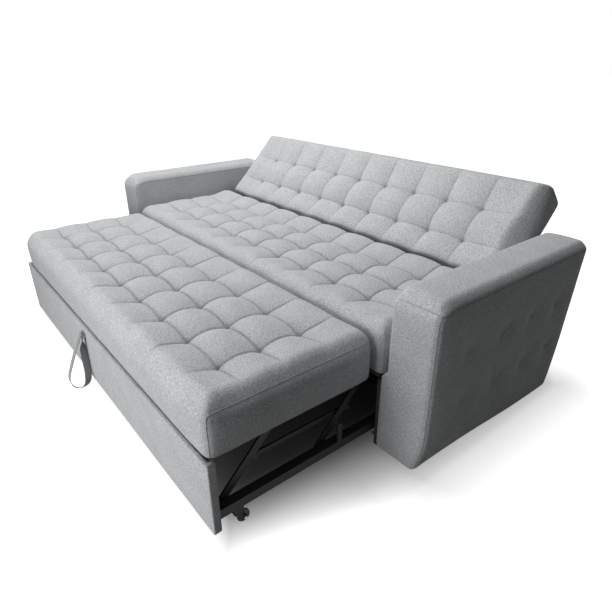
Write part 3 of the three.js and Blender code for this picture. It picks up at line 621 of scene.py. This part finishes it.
def add_cushion(name, size, outer_share, along, place, body, stands_for, seed, fill, **form):
    """A tufted cushion with its end seams and their stitches."""
    xs, ys = seam_places(size, outer_share, along)
    shape = cushion_shape(size, xs, ys, place, seed, **form)
    lists = [seamed_steps(size[0], EDGE_RADIUS, xs), seamed_steps(size[1], EDGE_RADIUS, ys),
             even_steps(size[2], EDGE_RADIUS, 0.016)]
    places, faces = box_grid(lists, open_core=(2, 0))
    points, painted_shade = shape(places)
    piece = add_piece(name, points, faces, upholstery, body, painted_shade)
    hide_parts(*stands_for)
    return [piece, add_welts(name + "_welts", end_seams(shape, size), body, 0.0008, 0.2),
            add_stitches(name + "_stitches", end_seams(shape, size, STITCH_IN), body)]


def placed_at(x, y, z):
    """A function that moves a box from the origin to its place."""
    return lambda p: p + np.array([x, y, z])


def on_back(p):
    """From the backrest lying on its back to where it leans."""
    turn = math.radians(BACK["recline"])
    y, z = p[:, 1], p[:, 2] - BACK["thick"]
    foot_y, foot_z = BACK["foot"]
    return np.stack([
        p[:, 0] - BACK["half"],
        foot_y + FRONT + y * math.cos(turn) - z * math.sin(turn),
        foot_z + y * math.sin(turn) + z * math.cos(turn),
    ], 1)


bed_pieces = add_cushion(
    "bed_cushion_cloth", (2 * BED["half"], BED["depth"], BED["thick"]), BED["across"], BED["along"],
    placed_at(-BED["half"], BED["front"] + FRONT, BED["bottom"]), "bed", ["bed_cushion"], SEED, 0.75,
    ends=(0.011, 0.005), tight=(0.9, 0.42), beyond=(0.0, 0.02), corner=0.35, foot=0.5)
# The soft ends give way to the guide posts as the bed comes down between them
# Each of the bed's pieces gets a mesh of its own
for piece in bed_pieces:
    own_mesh(piece)
add_cushion(
    "seat_cushion_cloth", (2 * SEAT["half"], SEAT["depth"], SEAT["thick"]), SEAT["across"], SEAT["along"],
    placed_at(-SEAT["half"], SEAT["front"] + FRONT, SEAT["bottom"]), "base", ["seat_cushion"], SEED + 1, 0.75,
    ends=(0.006, 0.007), tight=(0.45, 0.4), beyond=(0.0, 0.05), rear=0.011)
add_cushion(
    "back_cushion_cloth", (2 * BACK["half"], BACK["height"], BACK["thick"]), BACK["across"], BACK["along"],
    on_back, "backrest", ["back_cushion", "back_cover"], SEED + 2, 0.7,
    ends=(0.020, 0.004), tight=(0.3, 1.0), beyond=(0.04, 0.0), line=0.35)


# Arms

ARM_T = ARM["rim"] - ARM["inner"]
ARM_H = ARM["top"] - ARM["bottom"]
ARM_D = ARM["depth_high"]
ARM_RADIUS = 0.018
ARM_TOP_EDGE = 0.034                            # round of the two long top edges
ARM_CORNERS = {(0, 1): 0.062, (1, 1): 0.030}    # (front or rear, low or high) corner and its round, from the side
ARM_CLOSE = [0.004 * k for k in range(1, 9)]    # steps beside a rounded edge
# Its shade entries are painted shade round each tuft
ARM_TUFT = {"wide": 0.0105, "wide_width": 0.046, "deep": 0.0050, "deep_width": 0.009,
            "shade": 0.8, "shade_width": 0.007}
ARM_GATHER = {"height": 0.0014, "folds": 4, "reach": 0.05, "clear": 0.02}
ARM_SWELL = {"height": 0.0110, "border": 0.11}
ARM_FOOT = {"front": 1.15, "rear": 0.30, "from": 0.10, "to": 0.75}     # shares of foot_in, from front to rear
ARM_HEEL = {"in": 0.018, "height": 0.035, "reach": 0.10}               # the rear face draws in at the floor
ARM_TOP_RISE = 0.004
ARM_FRONT_RISE = 0.0035
ARM_LOOSE = ((0.37, 0.23, 0.14), 0.0012)        # lengths and height of the cloth's slow waves
ARM_LOOSE_SIDE, ARM_LOOSE_ENDS = 0.8, 0.6       # shares of that height on the sides and on the front and rear
ARM_SEAM_DROP = 0.024                           # the top seams run this far below the top
ARM_SEAM_POINTS = (70, 90, 24)                  # up the front, along the top, across the front
ARM_STITCH_IN = 0.0050


def round_corner(p, q, at_p, at_q, turn):
    """Two coordinates near a corner that is a little round already, moved onto a rounder one.

    Seen from the new round's centre, each slightly rounded square becomes the circle of the same size.
    """
    in_p = np.clip(1 - np.abs(p - at_p) / turn, 0, 1)
    in_q = np.clip(1 - np.abs(q - at_q) / turn, 0, 1)
    square = np.hypot(in_p, in_q) ** 2
    core = 1 - ARM_RADIUS / turn
    on_arc = core * (in_p + in_q)
    root = np.sqrt(np.maximum(on_arc ** 2 - square * (2 * core ** 2 - (1 - core) ** 2), 0))
    level = np.where(np.minimum(in_p, in_q) > core * np.maximum(in_p, in_q),
                     square / np.maximum(on_arc + root, 1e-9), np.maximum(in_p, in_q))
    scale = level / np.sqrt(np.maximum(square, 1e-12))
    scale = np.where((in_p > 0) & (in_q > 0), scale, 1)
    way_p, way_q = (-1 if at_p > 0 else 1), (-1 if at_q > 0 else 1)
    return p + in_p * (1 - scale) * turn * way_p, q + in_q * (1 - scale) * turn * way_q


def arm_tufts(y, z):
    """The lift of the arm's tufted outer side and the painted shade round each tuft."""
    lift, painted_shade = np.zeros(len(y)), np.zeros(len(y))
    for ty in ARM["tufts_y"]:
        for tz in ARM["tufts_z"]:
            r, angle = np.hypot(y - ty, z - tz), np.arctan2(z - tz, y - ty)
            lift -= ARM_TUFT["wide"] * bell(r, ARM_TUFT["wide_width"])
            lift -= ARM_TUFT["deep"] * bell(r, ARM_TUFT["deep_width"])
            lift += (ARM_GATHER["height"] * np.cos(ARM_GATHER["folds"] * angle)
                     * bell(r, ARM_GATHER["reach"]) * (1 - bell(r, ARM_GATHER["clear"])))
            painted_shade = np.maximum(painted_shade, ARM_TUFT["shade"] * bell(r, ARM_TUFT["shade_width"]))
    return lift, painted_shade


def arm_shape(side):
    """A function that takes places on a plain box to an arm, in the row frame, and the box's size."""
    size = (ARM_T, ARM_D, ARM_H)

    def shape(places):
        rng = np.random.default_rng(SEED + 3)
        p, out = rounded(places, size, ARM_RADIUS)
        a, b, c = p[:, 0], p[:, 1], p[:, 2]
        for end in (0, 1):
            a, c = round_corner(a, c, end * ARM_T, ARM_H, ARM_TOP_EDGE)
        for (far, high), turn in ARM_CORNERS.items():
            b, c = round_corner(b, c, far * ARM_D, high * ARM_H, turn)
        share, height = a / ARM_T, c / ARM_H
        y = b / ARM_D * (ARM["depth_low"] + (ARM["depth_high"] - ARM["depth_low"]) * height)
        z = c + ARM["bottom"]

        inner_x = ARM["inner"] + ARM["step"] * smooth(z, ARM["step_from"], ARM["step_to"])
        to_rear = smooth(b, ARM_FOOT["from"], ARM_FOOT["to"])
        foot_in = ARM["foot_in"] * (ARM_FOOT["front"] + (ARM_FOOT["rear"] - ARM_FOOT["front"]) * to_rear)
        outer_x = ARM["rim"] - foot_in * np.clip(1 - c / ARM["foot_height"], 0, 1) ** 2
        outward = np.clip(out[:, 0], 0, 1) ** 2
        lift, painted_shade = arm_tufts(y, z)
        edge = np.minimum(np.minimum(b, ARM_D - b), np.minimum(c, ARM_H - c))
        swell = ARM_SWELL["height"] * settle(edge, ARM_SWELL["border"])
        loose = ripple(p, rng, *ARM_LOOSE)
        x = inner_x + (outer_x - inner_x) * share + outward * (lift + swell)

        top, front = np.clip(out[:, 2], 0, 1) ** 2, np.clip(-out[:, 1], 0, 1) ** 2
        z = z + top * (ARM_TOP_RISE * np.sin(math.pi * share) + loose)
        heel = (ARM_HEEL["in"] * np.clip(1 - c / ARM_HEEL["height"], 0, 1) ** 2
                * smooth(b, ARM_D - ARM_HEEL["reach"], ARM_D))
        y = y - front * ARM_FRONT_RISE * np.sin(math.pi * share) * np.sin(math.pi * height) - heel
        x = x + out[:, 0] * loose * ARM_LOOSE_SIDE
        y = y + out[:, 1] * loose * ARM_LOOSE_ENDS
        return np.stack([side * x, y + FRONT, z], 1), painted_shade * outward
    return shape, size


def arm_lines(shape, size, inside=0.0):
    """An arm's seams: up the outer front corner, along the outer top edge, across the front's top, and the
    first two again on the inner side. inside moves them in from there, for the stitches.
    """
    thick, deep, tall = size
    inset = seam_inset(ARM_RADIUS)
    first = inset * SEAM_IN + inside
    high = tall - ARM_SEAM_DROP - inside
    up, along, across = ARM_SEAM_POINTS
    upright = [(thick, first, z) for z in np.linspace(ARM_RADIUS, high, up)]
    top = [(thick, y, high) for y in np.linspace(first, deep - ARM_RADIUS, along)]
    front = [(x, 0.0, tall - ARM_RADIUS - inside) for x in np.linspace(ARM_RADIUS, thick - inset, across)]
    inner = [[(0.0, y, z) for _, y, z in line] for line in (upright, top)]
    return [shape(np.array(line))[0] for line in (upright, top, front, *inner)]


for label, side in (("left", -1), ("right", 1)):
    shape, size = arm_shape(side)
    lists = [even_steps(length, ARM_RADIUS, gap, ARM_CLOSE) for length, gap in zip(size, (0.020, 0.0125, 0.0125))]
    places, faces = box_grid(lists)
    points, painted_shade = shape(places)
    if side < 0:
        faces = [face[::-1] for face in faces]
    arm = add_piece("arm_cloth_" + label, points, faces, upholstery, "base", painted_shade)
    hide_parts("arm_pad_" + label)
    upright_seam, top_seam, front_seam, inner_upright_seam, inner_top_seam = arm_lines(shape, size)
    # Painted shade: the top welts are darkened to a near-black line, as the seam's shadow
    add_welts("arm_welts_" + label, [top_seam, inner_top_seam], "base", 0.0009, 1.7)
    add_welts("arm_front_welts_" + label, [upright_seam, inner_upright_seam, front_seam], "base", 0.0012, 0.3)
    add_stitches("arm_stitches_" + label, arm_lines(shape, size, ARM_STITCH_IN), "base", radius=0.0003)


# Front panel of the bed

PANEL_SWELL = {"height": 0.0035, "border": 0.06}
PANEL_LOOSE = ((0.43, 0.27, 0.15), 0.0009)
PANEL_STEP = 0.002                      # half the depth over which the lip steps down to the shoulder
PANEL_SHOULDER_ENDS = (0.001, 0.005)    # the shoulder ends this far past the bed's ends
PANEL_SHOULDER_RISE = (0.03, 0.02)      # its drop fades in between these depths below the top
PANEL_END_STEPS = [0.0096, 0.0114, 0.0132, 0.015, 0.0168, 0.0186, 0.0215]      # fine steps where it ends
PANEL_SEAM = 0.0016                     # the seam on the top front edge, from both faces
PANEL_SEAM_END = 0.006
PANEL_SEAM_POINTS = 160


def panel_shape():
    """A function that takes places on a plain box to the panel, in the row frame, and the box's size.

    Behind its lip the panel has a lower shoulder, and the bed cushion's front lies over it.
    """
    size = (2 * PANEL["half"], PANEL["thick"], PANEL["top"] - PANEL["bottom"])

    def shape(places):
        rng = np.random.default_rng(SEED + 4)
        p, out = rounded(places, size, PANEL["radius"])
        front = np.clip(-out[:, 1], 0, 1) ** 2
        edge = np.minimum(np.minimum(p[:, 0], size[0] - p[:, 0]), np.minimum(p[:, 2], size[2] - p[:, 2]))
        swell = PANEL_SWELL["height"] * (settle(edge, PANEL_SWELL["border"]) - 1)
        p[:, 1] -= front * (swell + ripple(p, rng, *PANEL_LOOSE))
        behind = smooth(p[:, 1], PANEL["lip"] - PANEL_STEP, PANEL["lip"] + PANEL_STEP)
        across = 1 - smooth(np.abs(p[:, 0] - PANEL["half"]), *(BED["half"] + d for d in PANEL_SHOULDER_ENDS))
        near_top = smooth(p[:, 2], *(size[2] - d for d in PANEL_SHOULDER_RISE))
        p[:, 2] -= PANEL["shoulder"] * behind * across * near_top
        return p + np.array([-PANEL["half"], PANEL["front"] + FRONT, PANEL["bottom"]]), np.zeros(len(p))
    return shape, size


shape, size = panel_shape()
across = even_steps(size[0], PANEL["radius"], 0.022) + PANEL_END_STEPS + [size[0] - d for d in PANEL_END_STEPS]
places, faces = box_grid([sorted(across), even_steps(size[1], PANEL["radius"], 0.0025),
                          even_steps(size[2], PANEL["radius"], 0.016)])
points, painted_shade = shape(places)
panel = add_piece("front_panel_cloth", points, faces, upholstery, "carriage", painted_shade)
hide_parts("front_panel_pad")
panel_seam = [(x, PANEL_SEAM, size[2] - PANEL_SEAM)
              for x in np.linspace(PANEL_SEAM_END, size[0] - PANEL_SEAM_END, PANEL_SEAM_POINTS)]
add_welts("front_panel_welts", [shape(np.array(panel_seam))[0]], "carriage", 0.0013, 0.0)


# Pull strap

# Its path: shares of its reach and drop. It hangs down, turns forwards and comes up again as a loop
STRAP_PATH = [(0, 0), (0.1, 0.14), (0.13, 0.45), (0.16, 0.8), (0.28, 0.95), (0.54, 1),
              (0.85, 0.94), (1, 0.78), (0.64, 0.42), (0.07, 0)]
STRAP_TURNS = {"edge_on": (0.04, 0.16), "flat_again": (0.36, 0.58)}     # shares of its length where it twists
STRAP_ROWS = 161
CURVE_POINTS = 40           # between two points of its path
STRAP_RING = [(-1, -0.35), (-0.94, -1), (-0.5, -1), (0, -1), (0.5, -1), (0.94, -1), (1, -0.35),
              (1, 0.35), (0.94, 1), (0.5, 1), (0, 1), (-0.5, 1), (-0.94, 1), (-1, 0.35)]
PATCH_ROUND = 0.0012
PATCH_SEAM_IN = 0.003
PATCH_LIFT = 0.0001         # its stitches stand this far off it


def catmull_rom(points, count):
    """A centripetal Catmull-Rom curve through points, with ends that run straight out."""
    points = [np.array(p, float) for p in points]
    points = [2 * points[0] - points[1], *points, 2 * points[-1] - points[-2]]
    found = []
    for k in range(len(points) - 3):
        p = points[k:k + 4]
        t = [0.0]
        for a, b in zip(p[:-1], p[1:]):
            t.append(t[-1] + math.sqrt(np.linalg.norm(b - a)))

        def between(a, b, low, high, s):
            return (t[high] - s) / (t[high] - t[low]) * a + (s - t[low]) / (t[high] - t[low]) * b

        for s in np.linspace(t[1], t[2], CURVE_POINTS, endpoint=False):
            a1, a2, a3 = (between(p[n], p[n + 1], n, n + 1, s) for n in range(3))
            b1, b2 = between(a1, a2, 0, 2, s), between(a2, a3, 1, 3, s)
            found.append(between(b1, b2, 1, 2, s))
    found.append(points[-2])
    return path_points(np.array(found), lambda length: np.linspace(0, length, count))


def strap_mesh():
    """The ribbon along its path: flat at its patch, edge-on on the way down and flat again from the bend on."""
    path = catmull_rom([(STRAP["x"], STRAP["start"] + FRONT - reach * STRAP["reach"],
                         STRAP["top"] - drop * STRAP["drop"]) for reach, drop in STRAP_PATH], STRAP_ROWS)
    along = np.gradient(path, axis=0)
    along /= np.linalg.norm(along, axis=1)[:, None]
    points, faces = [], []
    for share, here, way in zip(np.linspace(0, 1, STRAP_ROWS), path, along):
        in_plane = np.array([0, way[2], -way[1]])
        turned = 1 + smooth(share, *STRAP_TURNS["flat_again"]) - smooth(share, *STRAP_TURNS["edge_on"])
        across = in_plane * math.cos(math.pi / 2 * turned) + np.array([math.sin(math.pi / 2 * turned), 0, 0])
        across /= np.linalg.norm(across)
        out = np.cross(way, across)
        for a, b in STRAP_RING:
            points.append(here + across * a * STRAP["width"] / 2 + out * b * STRAP["thick"] / 2)
    n = len(STRAP_RING)
    last = (STRAP_ROWS - 1) * n
    for k in range(0, last, n):
        for s in range(n):
            t = (s + 1) % n
            faces.append([k + s, k + t, k + n + t, k + n + s])
    faces.append(list(range(n))[::-1])
    faces.append([last + s for s in range(n)])
    return points, faces


points, faces = strap_mesh()
strap = add_piece("pull_strap_ribbon", points, faces, ribbon, "strap")
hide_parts("pull_strap")

low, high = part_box("strap_patch")
size = tuple(high - low)
places, faces = box_grid([even_steps(length, PATCH_ROUND, gap) for length, gap in zip(size, (0.004, 0.002, 0.003))])
points = rounded(places, size, PATCH_ROUND)[0] + np.array(low)
patch = add_piece("strap_patch_ribbon", points, faces, ribbon, "carriage")
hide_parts("strap_patch")
x0, x1, y = low.x + PATCH_SEAM_IN, high.x - PATCH_SEAM_IN, low.y - PATCH_LIFT
z0, z1 = low.z + PATCH_SEAM_IN, high.z - PATCH_SEAM_IN
patch_seam = [(x0, y, z0), (x1, y, z0), (x1, y, z1), (x0, y, z1), (x0, y, z0)]
add_stitches("strap_patch_stitches", [walk(patch_seam, 0.001)], "carriage", 0.0022, 0.0032, 0.0003)


# Edges of the rigid pieces

def both(*names):
    """The left and the right one of each."""
    return [f"{name}_{side}" for name in names for side in ("left", "right")]


SOFT_EDGES = {
    0.0022: ["carriage_cross_tube", *both("carriage_rail", "caster_post", "deck_rail", "glide_front", "glide_rear")],
    0.0008: ["bed_board", "seat_deck", "rear_board", "seat_front_rail",
             *both("guide_post", "tie_bar", "lift_link_front", "lift_link_rear", "roller_bracket", "caster_fork",
                   "side_board")],
}


def soften(name, width):
    """A small round on a rigid piece's edges, as a bevel over the CAD mesh."""
    bevel = frame["nodes"][name].modifiers.new("edges", "BEVEL")
    bevel.width = width
    bevel.segments = 2
    bevel.limit_method = "ANGLE"
    bevel.angle_limit = math.radians(40)
    bevel.use_clamp_overlap = True


for width, names in SOFT_EDGES.items():
    for name in names:
        soften(name, width)


# Camera, as solved from the photo: its place counts from the arms' fronts, its angles are in degrees

CAMERA = {"lens": 29.372, "sensor": 36.0, "place": (1.7224, -0.9672, 1.145),
          "yaw": 50.9514, "pitch": -26.2084, "roll": -0.1668}

camera_data = bpy.data.cameras.new("camera")
camera_data.lens = CAMERA["lens"]
camera_data.sensor_width = CAMERA["sensor"]
camera_data.sensor_fit = "HORIZONTAL"
camera_data.clip_start = 0.05
camera_data.clip_end = 100.0
camera = bpy.data.objects.new("camera", camera_data)
bpy.context.scene.collection.objects.link(camera)
yaw, pitch, roll = (math.radians(CAMERA[angle]) for angle in ("yaw", "pitch", "roll"))
ahead = Vector((-math.sin(yaw) * math.cos(pitch), math.cos(yaw) * math.cos(pitch), math.sin(pitch)))
right = ahead.cross(Vector((0, 0, 1))).normalized()
up = right.cross(ahead)
right, up = math.cos(roll) * right + math.sin(roll) * up, math.cos(roll) * up - math.sin(roll) * right
turn = Matrix((right, up, -ahead)).transposed().to_4x4()
camera.matrix_world = Matrix.Translation(Vector(CAMERA["place"]) + Vector((0, FRONT, 0))) @ turn
bpy.context.scene.camera = camera


# Light and background

def area(name, place, target, size, power):
    """A square white lamp that looks at its target."""
    data = bpy.data.lights.new(name, "AREA")
    data.shape = "SQUARE"
    data.size = size
    data.energy = power
    lamp = bpy.data.objects.new(name, data)
    bpy.context.scene.collection.objects.link(lamp)
    lamp.location = place
    lamp.rotation_mode = "QUATERNION"
    lamp.rotation_quaternion = (Vector(target) - Vector(place)).to_track_quat("-Z", "Y")


def seen_by_eye(tree):
    """1 on rays that show what they hit, straight, in gloss or through glass, and 0 on those that gather light."""
    ray = node(tree, "LightPath").outputs
    indirect = math_node(tree, "MAXIMUM", ray["Is Glossy Ray"], ray["Is Transmission Ray"])
    return math_node(tree, "MAXIMUM", ray["Is Camera Ray"], indirect)


area("overhead", (-1.00, -0.10, 3.40), (0.0, -0.20, 0.3), 1.8, 100)
area("front_fill", (0.45, -3.00, 0.60), (0.25, -0.4, 0.25), 1.3, 48)

world = bpy.data.worlds.new("world")
bpy.context.scene.world = world
world.use_nodes = True
tree = world.node_tree
tree.nodes.clear()
ambient = node(tree, "Background", {0: (0.86, 0.89, 0.90, 1), 1: 0.085})
white = node(tree, "Background", {0: (1, 1, 1, 1), 1: 1.0})
mixed = node(tree, "MixShader", {0: seen_by_eye(tree), 1: ambient.outputs[0], 2: white.outputs[0]})
node(tree, "OutputWorld", {0: mixed.outputs[0]})


# Floor: matt, with a painted white glow that fades out by place towards the sofa, so that the shade stays near it:
# that shade is partly real shadow and partly painted, where the glow is left out

FLOOR_HALF = 40.0
FLOOR_SHOWN = 0.50          # grey under the glow
FLOOR_DIM = 0.27            # grey that throws light back onto the sofa
NOWHERE = 50.0              # past the floor's edge
# The painted shade of the bed and the seat on the floor, where the glow fades: its half width, narrower towards the
# front, and its reach
BED_SHADE = {"half": 0.72, "front": -0.30, "narrowing": 2.0, "narrowed": 0.40, "rear": 0.60, "rear_stretch": 1.5,
             "reach": 0.37}
FRONT_GLOW = (-0.640, -0.735)       # in front of the bed the glow is full again
# The painted shade beside the arms, where the glow falls to its least
ARM_SHADE = {"x": (-1.067, 1.067), "y": (-0.147, 0.66), "reach": 0.16, "least": 0.62}

floor_mesh = bpy.data.meshes.new("floor")
floor_mesh.from_pydata([(x * FLOOR_HALF, y * FLOOR_HALF, 0) for x, y in ((-1, -1), (1, -1), (1, 1), (-1, 1))],
                       [], [(0, 1, 2, 3)])
floor = bpy.data.objects.new("floor", floor_mesh)
bpy.context.scene.collection.objects.link(floor)
floor_paint = bpy.data.materials.new("floor")
floor_paint.use_nodes = True
tree = floor_paint.node_tree
tree.nodes.clear()
place = node(tree, "SeparateXYZ", {0: node(tree, "TexCoord").outputs["Object"]}).outputs


def outside(value, low, high):
    """How far a value lies outside a span."""
    below = math_node(tree, "SUBTRACT", low, value)
    above = math_node(tree, "SUBTRACT", value, high)
    return math_node(tree, "MAXIMUM", math_node(tree, "MAXIMUM", below, above), 0.0)


def hypotenuse(a, b):
    """The distance that two distances at right angles make."""
    return math_node(tree, "SQRT", math_node(tree, "MULTIPLY_ADD", a, a, math_node(tree, "MULTIPLY", b, b)))


forward = math_node(tree, "MINIMUM", outside(place[1], BED_SHADE["front"], NOWHERE), BED_SHADE["narrowed"])
narrowing = math_node(tree, "MULTIPLY_ADD", forward, BED_SHADE["narrowing"], 1.0)
beside = math_node(tree, "MULTIPLY", outside(place[0], -BED_SHADE["half"], BED_SHADE["half"]), narrowing)
behind = math_node(tree, "MULTIPLY", outside(place[1], -NOWHERE, BED_SHADE["rear"]), BED_SHADE["rear_stretch"])
by_bed = node(tree, "MapRange", {"Value": hypotenuse(beside, behind), "From Max": BED_SHADE["reach"]}).outputs[0]
by_bed = math_node(tree, "POWER", by_bed, 2.0)
in_front = node(tree, "MapRange", {"Value": place[1], "From Min": FRONT_GLOW[0], "From Max": FRONT_GLOW[1]}).outputs[0]
by_bed = math_node(tree, "MAXIMUM", by_bed, in_front)
from_arms = hypotenuse(outside(place[0], *ARM_SHADE["x"]), outside(place[1], *ARM_SHADE["y"]))
by_arms = node(tree, "MapRange", {"Value": from_arms, "From Max": ARM_SHADE["reach"],
                                  "To Min": ARM_SHADE["least"]}).outputs[0]
glow = node(tree, "Emission", {0: (1, 1, 1, 1), 1: math_node(tree, "MULTIPLY", by_bed, by_arms)})
matt = node(tree, "BsdfDiffuse", {0: (FLOOR_SHOWN, FLOOR_SHOWN, FLOOR_SHOWN, 1)})
shown = node(tree, "AddShader", {0: matt.outputs[0], 1: glow.outputs[0]})
dim = node(tree, "BsdfDiffuse", {0: (FLOOR_DIM, FLOOR_DIM, FLOOR_DIM, 1)})
mixed = node(tree, "MixShader", {0: seen_by_eye(tree), 1: dim.outputs[0], 2: shown.outputs[0]})
node(tree, "OutputMaterial", {0: mixed.outputs[0]})
floor_mesh.materials.append(floor_paint)

bpy.context.scene.view_settings.view_transform = "Standard"
